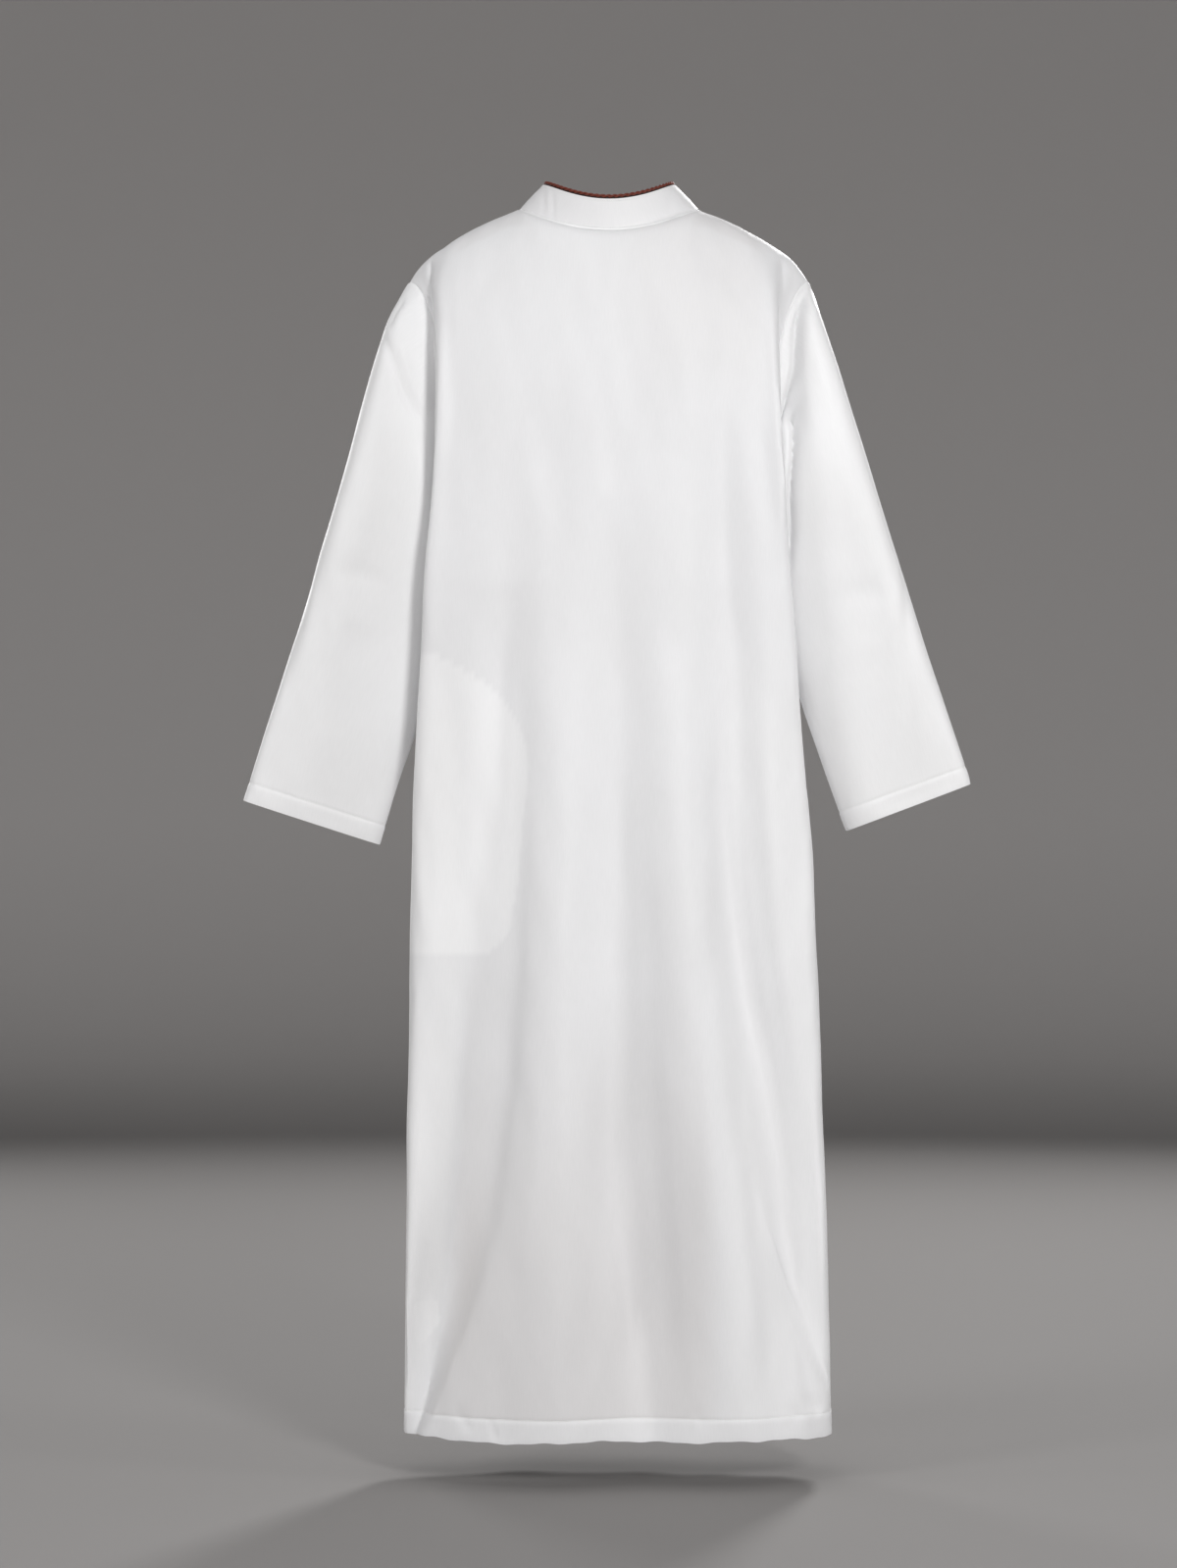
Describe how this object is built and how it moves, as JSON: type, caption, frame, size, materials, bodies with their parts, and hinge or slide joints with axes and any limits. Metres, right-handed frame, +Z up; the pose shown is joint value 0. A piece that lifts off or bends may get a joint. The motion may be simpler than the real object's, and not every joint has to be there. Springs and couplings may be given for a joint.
{
  "type": "thobe robe",
  "caption": "Ankle-length thobe robe with set-in sleeves, a cord-edged stand collar and a half placket, hollow and open as worn.",
  "frame": {"origin": "middle of the neck opening, level with the points where the shoulder seams meet the collar, where the wearer's neck and shoulders hold the robe", "axes": "+Z up along the body, -Y to the front, +Y to the back, +X to the wearer's left"},
  "size_m": [0.839, 0.2418, 1.4355],
  "materials": {
    "white_cloth": "fine plain weave, smooth, slightly sheer, soft low sheen",
    "pocket_cloth": "plain pocketing, matte",
    "rust_cord": "twisted cord, soft sheen",
    "button_white": "satin",
    "label_white": "bare woven tape, matte"
  },
  "bodies": {
    "root": {"back_panel": "white_cloth", "front_panel": "white_cloth", "sleeve_left": "white_cloth", "sleeve_right": "white_cloth", "collar": "white_cloth", "collar_piping": "rust_cord", "placket": "white_cloth", "button_1": "button_white", "button_2": "button_white", "button_3": "button_white", "button_4": "button_white", "pocket_bag_left": "pocket_cloth", "pocket_bag_right": "pocket_cloth", "care_label": "label_white"}
  },
  "joints": []
}
